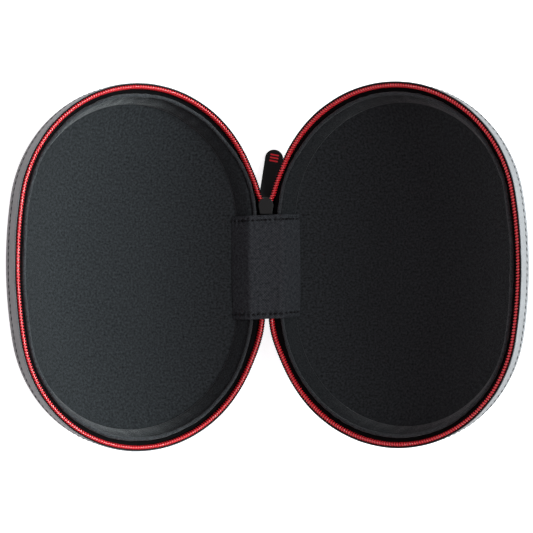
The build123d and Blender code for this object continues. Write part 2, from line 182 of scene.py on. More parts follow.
def swept(side, distances, insets, depths, pulled=False):
    """Points of a profile that follows the rim: one row for each distance."""
    distances = np.asarray(distances, float)[:, None]
    insets = np.broadcast_to(insets, (len(distances), np.shape(insets)[-1]))
    depths = np.broadcast_to(depths, insets.shape)
    u, v = wall_point(distances, insets)
    if pulled:
        u = u - zipper_pull_in(u, v, depths)
    return half_point(side, u, v, depths)


def ripple(distance, wavelength, seed):
    """Smooth noise from about -1 to 1 round the rim, which closes on itself."""
    generator = np.random.default_rng(seed)
    waves = RIM_LENGTH / wavelength
    total = 0
    for _ in range(5):
        turns = max(1, round(waves * generator.uniform(0.6, 1.5)))
        shift = generator.uniform(0, 2 * math.pi)
        total = total + np.sin(2 * math.pi * turns * distance / RIM_LENGTH + shift)
    return total / 2.5


def rumple(x, y, wavelength, seed):
    """Smooth noise from about -1 to 1 over a plane."""
    generator = np.random.default_rng(seed)
    total = 0
    for _ in range(7):
        heading = generator.uniform(0, 2 * math.pi)
        pitch = wavelength * generator.uniform(0.6, 1.5)
        run = x * math.cos(heading) + y * math.sin(heading)
        total = total + np.sin(2 * math.pi * run / pitch + generator.uniform(0, 2 * math.pi))
    return total / 3


# ---------------------------------------------------------------- meshes


def quads(table):
    """Entries of a table at the four corners of each of its cells."""
    return np.stack([table[:-1, :-1], table[1:, :-1], table[1:, 1:], table[:-1, 1:]], 2)


def mesh_from(name, vertices, faces, uv=None, toward=None, merge=False):
    """Mesh from millimetre points. Its faces look outward, or towards a direction on an open sheet."""
    mesh = bpy.data.meshes.new(name)
    mesh.from_pydata((vertices * MM).tolist(), [], faces)
    if uv is not None:
        layer = mesh.uv_layers.new(name="UVMap")
        layer.data.foreach_set("uv", np.asarray(uv, np.float32).ravel())
    made = bmesh.new()
    made.from_mesh(mesh)
    if merge:
        bmesh.ops.remove_doubles(made, verts=made.verts, dist=2e-5)
    if toward is None:
        bmesh.ops.recalc_face_normals(made, faces=made.faces)
    else:
        facing = sum(face.normal.dot(toward) * face.calc_area() for face in made.faces)
        if facing < 0:
            bmesh.ops.reverse_faces(made, faces=made.faces)
    made.to_mesh(mesh)
    made.free()
    mesh.shade_smooth()
    return mesh


def grid(name, points, uv, around=False, across=False, toward=None, merge=False):
    """Mesh of a grid of points; around closes its rows and across its columns, and uv has the repeats."""
    rows, columns = points.shape[:2]
    index = np.arange(rows * columns).reshape(rows, columns)
    if around:
        index = np.vstack([index, index[:1]])
    if across:
        index = np.hstack([index, index[:, :1]])
    faces = quads(index).reshape(-1, 4).tolist()
    return mesh_from(name, points.reshape(-1, 3), faces, quads(uv).reshape(-1, 2), toward, merge)


def lengths(points):
    """Distance along a row of points, from its first."""
    steps = np.linalg.norm(np.diff(points, axis=0), axis=1)
    return np.concatenate([[0], np.cumsum(steps)])


def strip_uv(distances, profile):
    """UVs in millimetres of a closed profile swept along distances."""
    closed = np.vstack([profile, profile[:1]])
    across = lengths(closed)
    return np.stack(np.meshgrid(distances, across, indexing="ij"), -1)


def tube(name, path, radius, sides=6):
    """Round thread along a path, with closed ends, and UVs along and round it."""
    tangents = np.gradient(path, axis=0)
    tangents /= np.linalg.norm(tangents, axis=1)[:, None]
    normal = np.cross(tangents[0], (0.1, 0.2, 1.0))
    normals = np.empty_like(path)
    for k, tangent in enumerate(tangents):
        normal = normal - tangent * (normal @ tangent)
        normal = normal / np.linalg.norm(normal)
        normals[k] = normal
    others = np.cross(tangents, normals)
    angles = np.arange(sides) * 2 * math.pi / sides
    rings = (
        path[:, None]
        + radius * np.cos(angles)[None, :, None] * normals[:, None]
        + radius * np.sin(angles)[None, :, None] * others[:, None]
    )
    index = np.arange(len(path) * sides).reshape(len(path), sides)
    walls = quads(np.hstack([index, index[:, :1]])).reshape(-1, 4).tolist()
    ends = [index[0].tolist(), index[-1].tolist()]
    round_it = np.linspace(0, 2 * math.pi * radius, sides + 1)
    uv = quads(np.stack(np.meshgrid(lengths(path), round_it, indexing="ij"), -1)).reshape(-1, 2)
    end_uv = np.zeros((2 * sides, 2))
    return mesh_from(name, rings.reshape(-1, 3), walls + ends, np.vstack([uv, end_uv]))


def stitches(name, centres, along, up, length, radius, sides=8):
    """Arched stitches whose ends dip into the cloth: one at each centre, with its own directions."""
    along = along / np.linalg.norm(along, axis=1)[:, None]
    beside = np.cross(up, along)
    beside /= np.linalg.norm(beside, axis=1)[:, None]
    up = np.cross(along, beside)
    reach = np.array([-1, -0.94, -0.78, -0.5, -0.18, 0.18, 0.5, 0.78, 0.94, 1.0])
    girth = radius * np.sqrt(np.maximum(1 - reach**6, 0.02))
    lift = radius * (0.35 - 1.5 * reach**2)
    angles = np.arange(sides) * 2 * math.pi / sides
    template = np.stack(
        [
            np.repeat(reach * length / 2, sides),
            (girth[:, None] * np.cos(angles)).ravel(),
            (girth[:, None] * np.sin(angles) + lift[:, None]).ravel(),
        ],
        1,
    )
    rings, per_stitch = len(reach), len(reach) * sides
    index = np.arange(per_stitch).reshape(rings, sides)
    walls = quads(np.hstack([index, index[:, :1]])).reshape(-1, 4)
    axes = np.stack([along, beside, up], 1)
    points = centres[:, None] + np.einsum("pk,nkc->npc", template, axes)
    faces = []
    for n in range(len(centres)):
        start = n * per_stitch
        faces += (walls + start).tolist()
        faces += [(index[0] + start).tolist(), (index[-1] + start).tolist()]
    return mesh_from(name, points.reshape(-1, 3), faces)


def add_piece(name, mesh, material, body=None, stands_for=(), thickness=0.0):
    """Adds a piece of the object, which rides on a body when one is given."""
    piece = bpy.data.objects.new(name, mesh)
    bpy.context.scene.collection.objects.link(piece)
    mesh.materials.append(material)
    if thickness:
        solid = piece.modifiers.new("thickness", "SOLIDIFY")
        solid.thickness = thickness * MM
        solid.offset = -1
    if body:
        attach(piece, body)
    if stands_for:
        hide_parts(*stands_for)
    return piece


# ---------------------------------------------------------------- materials


class Look:
    """A material and a short way to write its nodes. Coordinates are in millimetres."""

    def __init__(self, name, roughness=0.6, **inputs):
        self.material = bpy.data.materials.new(name)
        self.material.use_nodes = True
        self.tree = self.material.node_tree
        self.shader = self.tree.nodes["Principled BSDF"]
        self.feed(self.shader, "Roughness", roughness)
        for key, value in inputs.items():
            self.feed(self.shader, key.replace("_", " "), value)

    def feed(self, node, key, value):
        socket = node.inputs[key]
        if isinstance(value, bpy.types.NodeSocket):
            self.tree.links.new(value, socket)
        else:
            socket.default_value = value

    def add(self, kind, output=0, settings=None, **inputs):
        node = self.tree.nodes.new("ShaderNode" + kind)
        for key, value in (settings or {}).items():
            setattr(node, key, value)
        for key, value in inputs.items():
            self.feed(node, key, value)
        return node.outputs[output]

    def math(self, operation, a, b=0.0):
        node = self.tree.nodes.new("ShaderNodeMath")
        node.operation = operation
        self.feed(node, 0, a)
        self.feed(node, 1, b)
        return node.outputs[0]

    def scaled(self, value, low, high):
        """A 0 to 1 value spread from low to high."""
        return self.math("ADD", self.math("MULTIPLY", value, high - low), low)

    def object_place(self):
        place = self.add("TexCoord", output="Object")
        return self.add("VectorMath", settings={"operation": "SCALE"}, Vector=place, Scale=1 / MM)

    def uv_place(self):
        return self.add("TexCoord", output="UV")

    def stretched(self, place, factors):
        """A place with each coordinate multiplied by its own factor."""
        node = self.tree.nodes.new("ShaderNodeVectorMath")
        node.operation = "MULTIPLY"
        self.feed(node, 0, place)
        self.feed(node, 1, factors)
        return node.outputs[0]

    def turned(self, place):
        """A place turned so that waves run across a thread at a slant in most directions."""
        euler = {"rotation_type": "EULER_XYZ"}
        return self.add("VectorRotate", settings=euler, Vector=place, Rotation=(0.7, 0.5, 0.9))

    def noise(self, place, size, detail=3.0, roughness=0.55):
        return self.add("TexNoise", Vector=place, Scale=1 / size, Detail=detail, Roughness=roughness)

    def wave(self, place, axis, pitch, shift=0.0):
        """Sine of a coordinate, from -1 to 1."""
        run = self.add("SeparateXYZ", output=axis, Vector=place)
        turn = self.math("ADD", self.math("MULTIPLY", run, 2 * math.pi / pitch), shift)
        return self.math("SINE", turn)

    def tint(self, colour, *factors):
        """The base colour, multiplied by each factor."""
        total = factors[0]
        for factor in factors[1:]:
            total = self.math("MULTIPLY", total, factor)
        shade = self.add("CombineXYZ", X=total, Y=total, Z=total)
        self.feed(self.shader, "Base Color", self.stretched(shade, colour))

    def bump(self, height, distance, strength=1.0):
        raised = self.add("Bump", Height=height, Distance=distance * MM, Strength=strength)
        self.feed(self.shader, "Normal", raised)


def coated_fabric(name, colour):
    """Polyurethane-coated cloth with a fine leather grain."""
    look = Look(name, Specular_IOR_Level=0.45)
    place = look.object_place()
    soft_cells = {"feature": "SMOOTH_F1"}
    cells = look.add("TexVoronoi", "Distance", soft_cells, Vector=place, Scale=1.25, Smoothness=0.35)
    fine = look.noise(place, 0.35, 4.0, 0.7)
    broad = look.noise(place, 14.0, 3.0)
    grain = look.math("ADD", look.math("MULTIPLY", cells, 1.1), look.math("MULTIPLY", fine, 0.6))
    look.tint(colour, look.scaled(broad, 0.86, 1.14), look.scaled(cells, 0.9, 1.12))
    look.feed(look.shader, "Roughness", look.scaled(fine, 0.42, 0.68))
    look.bump(grain, 0.07)
    return look.material


def brushed_knit(name, colour, pitch=0.62):
    """Warp-knit lining with a short brushed face: rows of small loops, slightly mottled."""
    look = Look(name, 0.5, Specular_IOR_Level=0.06, Sheen_Weight=0.3, Sheen_Roughness=0.35)
    place = look.uv_place()
    drift = look.noise(place, 2.2, 2.0)
    across = look.wave(place, "X", pitch, look.math("MULTIPLY", drift, 5.0))
    along = look.wave(place, "Y", pitch * 1.35, look.math("MULTIPLY", drift, 4.0))
    loops = look.scaled(look.math("MULTIPLY", across, along), 0.5, 1.0)
    fibres = look.noise(place, 0.28, 4.0, 0.75)
    mottle = look.noise(place, 1.2, 2.0, 0.6)
    height = look.math("ADD", loops, look.math("MULTIPLY", fibres, 0.9))
    look.tint(
        colour,
        look.scaled(mottle, -0.5, 2.5),
        look.scaled(fibres, 0.62, 1.38),
        look.scaled(loops, 0.9, 1.06),
    )
    look.bump(height, 0.11)
    return look.material


def woven(name, colour, pitch, contrast, relief):
    """Plain-woven yarns, over and under, with slubs."""
    look = Look(name, 0.85, Specular_IOR_Level=0.08)
    place = look.uv_place()
    slub = look.noise(place, 1.6, 2.0)
    across = look.wave(place, "X", pitch, look.math("MULTIPLY", slub, 1.2))
    along = look.wave(place, "Y", pitch, look.math("MULTIPLY", slub, 1.2))
    over = look.math("MULTIPLY", across, along)
    streaks = look.add("TexNoise", Vector=look.stretched(place, (3.2, 0.18, 1)), Scale=1.0, Detail=3.0)
    look.tint(
        colour,
        look.scaled(over, 1.0 - contrast / 2, 1.0 + contrast / 2),
        look.scaled(streaks, 0.8, 1.2),
        look.scaled(slub, 0.0, 2.0),
    )
    look.bump(over, relief)
    return look.material


def nylon(name, colour):
    """Glossy dyed monofilament."""
    look = Look(name, 0.3, Specular_IOR_Level=0.8, Coat_Weight=0.5, Coat_Roughness=0.15)
    place = look.object_place()
    fine = look.noise(place, 0.6, 3.0)
    broad = look.noise(place, 9.0, 2.0)
    look.tint(colour, look.scaled(fine, 0.88, 1.12), look.scaled(broad, 0.92, 1.08))
    look.feed(look.shader, "Roughness", look.scaled(fine, 0.14, 0.32))
    look.bump(fine, 0.02)
    return look.material


def sewing_thread(name, colour):
    """Twisted polyester thread."""
    look = Look(name, 0.6, Specular_IOR_Level=0.15)
    place = look.object_place()
    plies = look.wave(look.turned(place), "X", 0.35)
    fibres = look.noise(place, 0.2, 3.0)
    look.tint(colour, look.scaled(plies, 0.85, 1.15), look.scaled(fibres, 0.8, 1.2))
    look.bump(plies, 0.04)
    return look.material


def painted_metal(name, colour):
    """Satin black paint on die-cast zinc, a little rubbed and pitted."""
    look = Look(name, 0.38, Specular_IOR_Level=0.32)
    place = look.object_place()
    pits = look.noise(place, 0.22, 4.0, 0.7)
    rubbed = look.noise(place, 2.4, 4.0, 0.7)
    look.tint(colour, look.scaled(rubbed, 0.7, 1.5), look.scaled(pits, 0.9, 1.1))
    look.feed(look.shader, "Roughness", look.scaled(rubbed, 0.34, 0.56))
    look.bump(pits, 0.02)
    return look.material


def moulded_rubber(name, colour):
    """Soft matte rubber with a fine spark-eroded texture."""
    look = Look(name, 0.62, Specular_IOR_Level=0.15)
    place = look.object_place()
    texture = look.noise(place, 0.18, 3.0, 0.6)
    bloom = look.noise(place, 5.0, 3.0)
    look.tint(colour, look.scaled(bloom, 0.8, 1.25), look.scaled(texture, 0.9, 1.1))
    look.feed(look.shader, "Roughness", look.scaled(bloom, 0.5, 0.72))
    look.bump(texture, 0.03)
    return look.material


def cut_foam(name, colour):
    """Closed-cell foam."""
    look = Look(name, 0.9, Specular_IOR_Level=0.2)
    place = look.object_place()
    cells = look.add("TexVoronoi", output="Distance", Vector=place, Scale=1.8)
    look.tint(colour, look.scaled(cells, 0.7, 1.2))
    look.bump(cells, 0.1)
    return look.material


OUTER = coated_fabric("coated fabric", (0.158, 0.154, 0.158))
LINING = brushed_knit("lining knit", (0.0205, 0.0226, 0.0243))
# The rolled edge is the lining's own knit in a lighter colour. This is painted light, standing in for the
# light the edge catches where it faces up along the rim.
PIPING_PAINTED_LIGHTER = brushed_knit("rolled lining edge painted lighter", (0.039, 0.042, 0.045), pitch=0.5)
PANEL = woven("hinge panel cloth", (0.064, 0.068, 0.075), pitch=0.9, contrast=0.8, relief=0.12)
BLACK_TAPE = woven("black tape", (0.0045, 0.0045, 0.005), pitch=0.7, contrast=0.6, relief=0.16)
COIL = nylon("red nylon", (0.88, 0.03, 0.042))
CORE = nylon("red core cord", (0.45, 0.008, 0.014))
THREAD = sewing_thread("black thread", (0.009, 0.009, 0.010))
SLIDER = painted_metal("satin black metal", (0.006, 0.006, 0.0055))
RUBBER = moulded_rubber("black rubber", (0.008, 0.008, 0.0085))
INLAY = moulded_rubber("red rubber", (0.8, 0.03, 0.042))
FOAM = cut_foam("foam", (0.02, 0.02, 0.02))


# ---------------------------------------------------------------- camera, light and floor

CAMERA_PLACE = (-8.8, 12.5, HINGE_Z + 576.0)
CAMERA_TURN = (-0.0231, -0.0156, -0.0089)
IMAGE_FOCUS = 1020 / 533  # focal length over the image's width
SENSOR = 36.0

camera_data = bpy.data.cameras.new("camera")
camera_data.sensor_width = SENSOR
camera_data.lens = SENSOR * IMAGE_FOCUS
camera = bpy.data.objects.new("camera", camera_data)
camera.location = [along * MM for along in CAMERA_PLACE]
camera.rotation_euler = CAMERA_TURN
bpy.context.scene.collection.objects.link(camera)
bpy.context.scene.camera = camera
bpy.context.scene.view_settings.view_transform = "Standard"


def add_light(name, azimuth, elevation, distance, size, power, colour):
    """Square area light aimed at the case, from an azimuth turned from +X towards +Y."""
    data = bpy.data.lights.new(name, "AREA")
    data.size = size
    data.energy = power
    data.color = colour
    light = bpy.data.objects.new(name, data)
    a, e = math.radians(azimuth), math.radians(elevation)
    light.location = (
        distance * math.cos(e) * math.cos(a),
        distance * math.cos(e) * math.sin(a),
        distance * math.sin(e),
    )
    light.rotation_euler = (math.pi / 2 - e, 0, a + math.pi / 2)
    bpy.context.scene.collection.objects.link(light)


add_light("key", 4, 21, 1.7, 0.6, 37, (0.85, 0.98, 1.0))
add_light("upper key", 8, 50, 1.7, 0.5, 12, (0.88, 0.98, 1.0))

AMBIENT = (0.47, 0.423, 0.4465, 1)
HORIZON = (1, 1, 1, 1)  # a low bright band, so the pale floor runs out without an edge
HORIZON_TOP = (0.04, 0.1)  # height on the sky, where the band starts to fade and where it ends


def add_sky():
    """Soft light from all round, brighter in a low band at the horizon."""
    world = bpy.data.worlds.new("studio")
    world.use_nodes = True
    tree = world.node_tree
    place = tree.nodes.new("ShaderNodeTexCoord")
    height = tree.nodes.new("ShaderNodeSeparateXYZ")
    fade = tree.nodes.new("ShaderNodeMapRange")
    mix = tree.nodes.new("ShaderNodeMix")
    mix.data_type = "RGBA"
    tree.links.new(place.outputs["Generated"], height.inputs[0])
    tree.links.new(height.outputs["Z"], fade.inputs["Value"])
    tree.links.new(fade.outputs["Result"], mix.inputs["Factor"])
    for key, value in zip(("From Min", "From Max"), HORIZON_TOP):
        fade.inputs[key].default_value = value
    colours = [socket for socket in mix.inputs if socket.type == "RGBA"]
    for socket, value in zip(colours, (HORIZON, AMBIENT)):
        socket.default_value = value
    mixed = next(socket for socket in mix.outputs if socket.type == "RGBA")
    tree.links.new(mixed, tree.nodes["Background"].inputs["Color"])
    bpy.context.scene.world = world


add_sky()

FLOOR_REACH = 40.0  # metres, so far that its edge is lost in the bright horizon

floor_look = Look("pale floor", 0.9, Specular_IOR_Level=0.1)
floor_place = floor_look.object_place()
floor_tone = floor_look.scaled(floor_look.noise(floor_place, 60.0), 0.985, 1.015)
floor_look.tint((0.86, 0.86, 0.86), floor_tone)
floor_look.feed(floor_look.shader, "Emission Color", (1, 1, 1, 1))
floor_look.feed(floor_look.shader, "Emission Strength", 0.75)
floor_mesh = bpy.data.meshes.new("floor")
floor_signs = ((-1, -1), (1, -1), (1, 1), (-1, 1))
floor_corners = [(FLOOR_REACH * a, FLOOR_REACH * b, 0) for a, b in floor_signs]
floor_mesh.from_pydata(floor_corners, [], [(0, 1, 2, 3)])
floor_mesh.materials.append(floor_look.material)
floor = bpy.data.objects.new("floor", floor_mesh)
bpy.context.scene.collection.objects.link(floor)


# ---------------------------------------------------------------- shells

RINGS_TO_CENTRE = 12


def stations(count):
    """Evenly spaced distances round the rim."""
    return np.arange(count) * RIM_LENGTH / count


def bowl(distances, insets, depths):
    """(u, v, depth) of rings from a layer's edge to the flat middle and on to its centre line."""
    u, v = wall_point(distances[:, None], insets[None])
    fill = np.linspace(0, 1, RINGS_TO_CENTRE + 1)[None, 1:]
    u = np.hstack([u, u[:, -1:] + (MIDDLE - u[:, -1:]) * fill])
    v = np.hstack([v, v[:, -1:] * (1 - 0.3 * fill)])
    all_depths = np.concatenate([depths, np.full(RINGS_TO_CENTRE, depths[-1])])
    return u, v, np.broadcast_to(all_depths, u.shape).copy()


def closed_rows(table):
    """A table with its first row repeated at its end."""
    return np.vstack([table, table[:1]])


def corner(turn, layer):
    """(inset, depth) on the rounded corner, where turn is 90 degrees at the wall."""
    radius = CORNER_RADIUS - layer
    return CORNER_RADIUS - radius * np.sin(turn), WALL_HEIGHT + radius * np.cos(turn)


def make_back_cover(half, side):
    """Coated skin: rolled upper edge, wall, round corner, dome and flat middle."""
    rolled = np.array([(0.4, 8.93), (0.2, 8.84), (0.06, 8.95), (0.0, 9.25), (0.0, 9.9)])
    turn = np.linspace(math.pi / 2, CORNER_TURN, 14)
    corner_inset, corner_depth = corner(turn, 0)
    dome_inset = np.linspace(corner_inset[-1], FLAT_INSET, 22)[1:]
    insets = np.concatenate([rolled[:, 0], corner_inset, dome_inset])
    depths = np.concatenate([rolled[:, 1], corner_depth, dome_depth(dome_inset, 0)])
    distances = stations(720)
    u, v, depth = bowl(distances, insets, depths)
    inset = np.concatenate([insets, np.full(RINGS_TO_CENTRE, FLAT_INSET)])
    soft = 0.1 * smooth(inset, 1, 12)[None] * rumple(u, v, 46, 11 + side)
    pull = 0.07 * np.sin(2 * math.pi * distances / SEAM_PITCH)[:, None]
    pucker = pull * np.exp(-np.abs(depth - 9.2) / 0.7)
    points = half_point(side, u, v, depth - soft - pucker)
    uv = closed_rows(np.stack([u, v], -1))
    down = (side * math.sin(RAISED), 0, -math.cos(RAISED))
    mesh = grid(f"{half}_cover", points, uv, around=True, toward=down, merge=True)
    stood_for = [f"{half}_back_cover"]
    add_piece(f"{half}_back_cover_skin", mesh, OUTER, half, stood_for, SKIN - 0.1)


def make_lining_floor(half, side):
    """Knit lining on the domed floor, gathered a little at the crease."""
    insets = np.concatenate([[9.1, 9.4, 9.9, 10.6, 11.5, 12.6], np.linspace(14, FLAT_INSET, 26)])
    depths = dome_depth(insets, LINING_FACE)
    depths[0] -= 0.55
    depths[1] -= 0.22
    depths[2] -= 0.06
    distances = stations(720)
    u, v, depth = bowl(distances, insets, depths)
    inset = np.concatenate([insets, np.full(RINGS_TO_CENTRE, FLAT_INSET)])[None]
    gathers = 0.16 * np.exp(-(inset - 9) / 4.5) * ripple(distances, 7.5, 3 + side)[:, None]
    folds = 0.14 * np.exp(-(inset - 9) / 12) * ripple(distances, 23, 5 + side)[:, None]
    soft = 0.16 * rumple(u, v, 38, 21 + side) + 0.05 * rumple(u, v, 13, 31 + side)
    points = half_point(side, u, v, depth - (gathers + folds + soft) * smooth(inset, 9.0, 10.5))
    uv = closed_rows(np.stack([u, v], -1))
    up = (-side * math.sin(RAISED), 0, math.cos(RAISED))
    mesh = grid(f"{half}_floor", points, uv, around=True, toward=up, merge=True)
    stood_for = [f"{half}_lining_floor"]
    add_piece(f"{half}_lining_floor_cloth", mesh, LINING, half, stood_for, LINING_THICKNESS)


def edge_lap(half, distances):
    """How far the lining's edge laps over the binding beside the parked slider."""
    u, v = wall_point(distances, 0)
    past_panel = smooth(v, PANEL_HIGH - 6, PANEL_HIGH + 2) * (1 - smooth(v, 44, 80))
    return EDGE_LAP[half] * past_panel * (1 - smooth(u, 30, 60))


def make_lining_wall(half, side):
    """Knit lining up the drafted wall, from the crease to under the rolled edge."""
    top_inset, top_depth = PIPING[0] - 0.1, PIPING[1] + 0.7
    t = np.concatenate([np.linspace(0, 0.9, 12), [0.95, 1.0]])
    insets = top_inset + (CREASE[0] - top_inset) * t + 0.35 * np.sin(math.pi * t)
    depths = top_depth + (CREASE[1] - top_depth) * t
    insets[-1] += 0.2
    distances = stations(720)
    waves = 0.13 * ripple(distances, 11, 7 + side) + 0.12 * ripple(distances, 34, 8 + side)
    table = insets[None] + np.sin(math.pi * t)[None] * waves[:, None]
    lap = edge_lap(half, distances)[:, None] * (1 - smooth(t, 0, 0.1))[None]
    points = swept(side, distances, table - lap, depths - 0.75 * lap)
    across = lengths(np.stack([insets, depths], -1))
    uv = np.stack(np.meshgrid(np.append(distances, RIM_LENGTH), across, indexing="ij"), -1)
    mesh = grid(f"{half}_wall", points, uv, around=True, toward=(0, 0, 1))
    stood_for = [f"{half}_lining_wall"]
    add_piece(f"{half}_lining_wall_cloth", mesh, LINING, half, stood_for, LINING_THICKNESS)


def round_section(inset, depth, radius_in, radius_down, sides):
    """Points of an ellipse in (inset, depth)."""
    turn = np.arange(sides) * 2 * math.pi / sides
    return np.stack([inset + radius_in * np.cos(turn), depth + radius_down * np.sin(turn)], -1)


def make_piping(half, side):
    """Rolled upper edge of the lining."""
    distances = stations(540)
    profile = round_section(*PIPING[:2], PIPING[2], PIPING[2], 14)
    swell = 1 + 0.09 * ripple(distances, 9, 13 + side) + 0.06 * ripple(distances, 31, 14 + side)
    insets = PIPING[0] + (profile[None, :, 0] - PIPING[0]) * swell[:, None]
    depths = PIPING[1] + (profile[None, :, 1] - PIPING[1]) * swell[:, None]
    lap = edge_lap(half, distances)[:, None]
    insets = insets + 0.14 * ripple(distances, 40, 15 + side)[:, None] - lap
    points = swept(side, distances, insets, depths - 0.75 * lap)
    uv = strip_uv(np.append(distances, RIM_LENGTH), profile)
    mesh = grid(f"{half}_piping", points, uv, around=True, across=True)
    # Its cloth is the lining knit painted lighter: painted light along the rim.
    add_piece(f"{half}_lining_rolled_edge", mesh, PIPING_PAINTED_LIGHTER, half, [f"{half}_lining_piping"])


def make_binding(half, side):
    """Black woven strip over the foam's edge, slightly crowned."""
    low = [(0.95, 4.1), (0.95, 3.75), (1.5, 3.62), (2.4, 3.52)]
    high = [(3.5, 3.5), (4.5, 3.55), (5.0, 3.7), (5.1, 4.1)]
    profile = np.array([*low, *high])
    distances = stations(540)
    depths = profile[None, :, 1] + 0.05 * ripple(distances, 6, 17 + side)[:, None]
    points = swept(side, distances, profile[:, 0], depths)
    uv = strip_uv(np.append(distances, RIM_LENGTH), profile)
    mesh = grid(f"{half}_binding", points, uv, around=True, across=True)
    add_piece(f"{half}_rim_binding_strip", mesh, BLACK_TAPE, half, [f"{half}_rim_binding"])


# ---------------------------------------------------------------- rim and zipper

SEAM_PITCH = RIM_LENGTH / round(RIM_LENGTH / 3.2)


def lowered(distances, top, depths, bottom, spine_drop=0.0):
    """A strip's depths at each distance, squeezed down under the hinge panel and round the slider."""
    u, v = wall_point(distances, 0)
    top = top + spine_drop * (1 - smooth(u, 6, 30))
    at_spine = 1 - smooth(u, MIDDLE * 0.5, MIDDLE)
    past_panel = smooth(v, PANEL_HIGH, SLIDER_LOW + 0.4)
    under_panel = smooth(v, PANEL_LOW - 0.6, PANEL_LOW + 0.8) * (1 - past_panel)
    at_slider = past_panel * (1 - smooth(v, SLIDER_HIGH - 0.6, SLIDER_HIGH + 0.5))
    cleared = np.sqrt(np.maximum(SLIDER_RELIEF**2 - u**2, 0))
    new_top = top + at_spine * (under_panel * (RIM_UNDER_PANEL - top) + at_slider * (cleared - top))
    share = (bottom - depths[None]) / (bottom - depths.min())
    return bottom - share * (bottom - new_top[:, None])


def make_side_band(half, side):
    """Coated strip round the wall: folded top edge, puckered a little at the seam."""
    profile = np.array(
        [
            (0.3, 8.3),
            (0.12, 8.42),
            (0.03, 8.25),
            (0.0, 7.8),
            (0.0, 6.6),
            (0.0, 5.2),
            (0.0, 3.8),
            (0.0, 2.5),
            (-0.05, 1.6),
            (-0.08, 1.0),
            (-0.02, 0.6),
            (0.1, 0.42),
            (0.28, 0.42),
            (0.42, 0.6),
            (0.47, 1.0),
            (0.48, 2.0),
            (0.48, 5.0),
            (0.48, 8.1),
        ]
    )
    distances = stations(1080)
    insets = np.repeat(profile[None, :, 0], len(distances), 0)
    depths = lowered(distances, BAND_TOP, profile[:, 1], BAND_BOTTOM, spine_drop=1.0)
    body = np.sin(math.pi * np.clip(profile[:, 1] / BAND_BOTTOM, 0, 1))[None]
    waves = 0.1 * ripple(distances, 29, 41 + side) + 0.05 * ripple(distances, 8, 42 + side)
    insets = insets + body * waves[:, None]
    near_seam = np.exp(-np.abs(profile[:, 1] - 8.2) / 0.8)[None]
    insets = insets + near_seam * 0.07 * np.sin(2 * math.pi * distances / SEAM_PITCH)[:, None]
    near_top = np.exp(-np.abs(profile[:, 1] - 0.4) / 1.2)[None]
    depths = depths + near_top * 0.1 * ripple(distances, 19, 43 + side)[:, None]
    points = swept(side, distances, insets, depths, pulled=True)
    uv = strip_uv(np.append(distances, RIM_LENGTH), profile)
    mesh = grid(f"{half}_band", points, uv, around=True, across=True)
    add_piece(f"{half}_side_band_strip", mesh, OUTER, half, [f"{half}_side_band"])


def make_tape(half, side):
    """Woven zipper tape inside the band."""
    outside = [(0.53, 8.3), (0.53, 3), (0.53, 0.6), (0.58, 0.3)]
    inside = [(0.82, 0.3), (0.87, 0.6), (0.87, 3), (0.87, 8.3)]
    profile = np.array([*outside, (0.7, TAPE_TOP), *inside])
    distances = stations(1080)
    depths = lowered(distances, TAPE_TOP, profile[:, 1], BAND_BOTTOM)
    points = swept(side, distances, profile[:, 0], depths, pulled=True)
    uv = strip_uv(np.append(distances, RIM_LENGTH), profile)
    mesh = grid(f"{half}_tape", points, uv, around=True, across=True)
    add_piece(f"{half}_zipper_tape_weave", mesh, BLACK_TAPE, half, [f"{half}_zipper_tape"])


def coil_axis(side, distances):
    """The coil's axis with its directions inward and down."""
    centre = swept(side, distances, [COIL_INSET], [COIL_DEPTH], pulled=True)[:, 0]
    inward = swept(side, distances, [COIL_INSET + 0.1], [COIL_DEPTH], pulled=True)[:, 0] - centre
    inward /= np.linalg.norm(inward, axis=1)[:, None]
    down = np.array([side * math.sin(RAISED), 0, -math.cos(RAISED)])
    return centre, inward, np.broadcast_to(down, centre.shape)


def make_coil(half, side):
    """Monofilament coil standing on edge, the cord inside it and the thread that sews it to the tape."""
    start = station(COIL_HIGH)
    end = RIM_LENGTH + station(COIL_LOW)
    turns = round((end - start) / COIL_PITCH)
    steps = 14
    turn = np.arange(turns * steps + 1) * 2 * math.pi / steps
    distances = start + (end - start) * turn / turn[-1]
    centre, inward, down = coil_axis(side, distances)
    flat = 0.62  # below 1, so the coil's section is squarer than an ellipse
    across = np.sign(np.cos(turn)) * np.abs(np.cos(turn)) ** flat * (COIL_HALF_WIDTH - COIL_WIRE)
    height = np.sign(np.sin(turn)) * np.abs(np.sin(turn)) ** flat * (COIL_HALF_HEIGHT - COIL_WIRE)
    path = centre + inward * across[:, None] + down * height[:, None]
    helix = tube(f"{half}_coil", path, COIL_WIRE)
    add_piece(f"{half}_zipper_coil_helix", helix, COIL, half, [f"{half}_zipper_coil"])

    core_distances = np.linspace(start + 0.4, end - 0.4, 460)
    profile = round_section(COIL_INSET, COIL_DEPTH, 0.65, 1.12, 10)
    points = swept(side, core_distances, profile[:, 0], profile[:, 1], pulled=True)
    core = grid(f"{half}_core", points, strip_uv(core_distances, profile), across=True)
    add_piece(f"{half}_zipper_coil_core", core, CORE, half)

    whips = start + COIL_PITCH * (np.arange(turns - 1) + 0.5)
    centres = swept(side, whips, [0.66], [0.46], pulled=True)[:, 0]
    inner = swept(side, whips, [1.1], [0.48], pulled=True)[:, 0]
    up = np.broadcast_to(-down[0], centres.shape)
    loops = stitches(f"{half}_whip", centres, inner - centres, up, 1.1, 0.26, sides=6)
    add_piece(f"{half}_coil_sewing_thread", loops, THREAD, half)


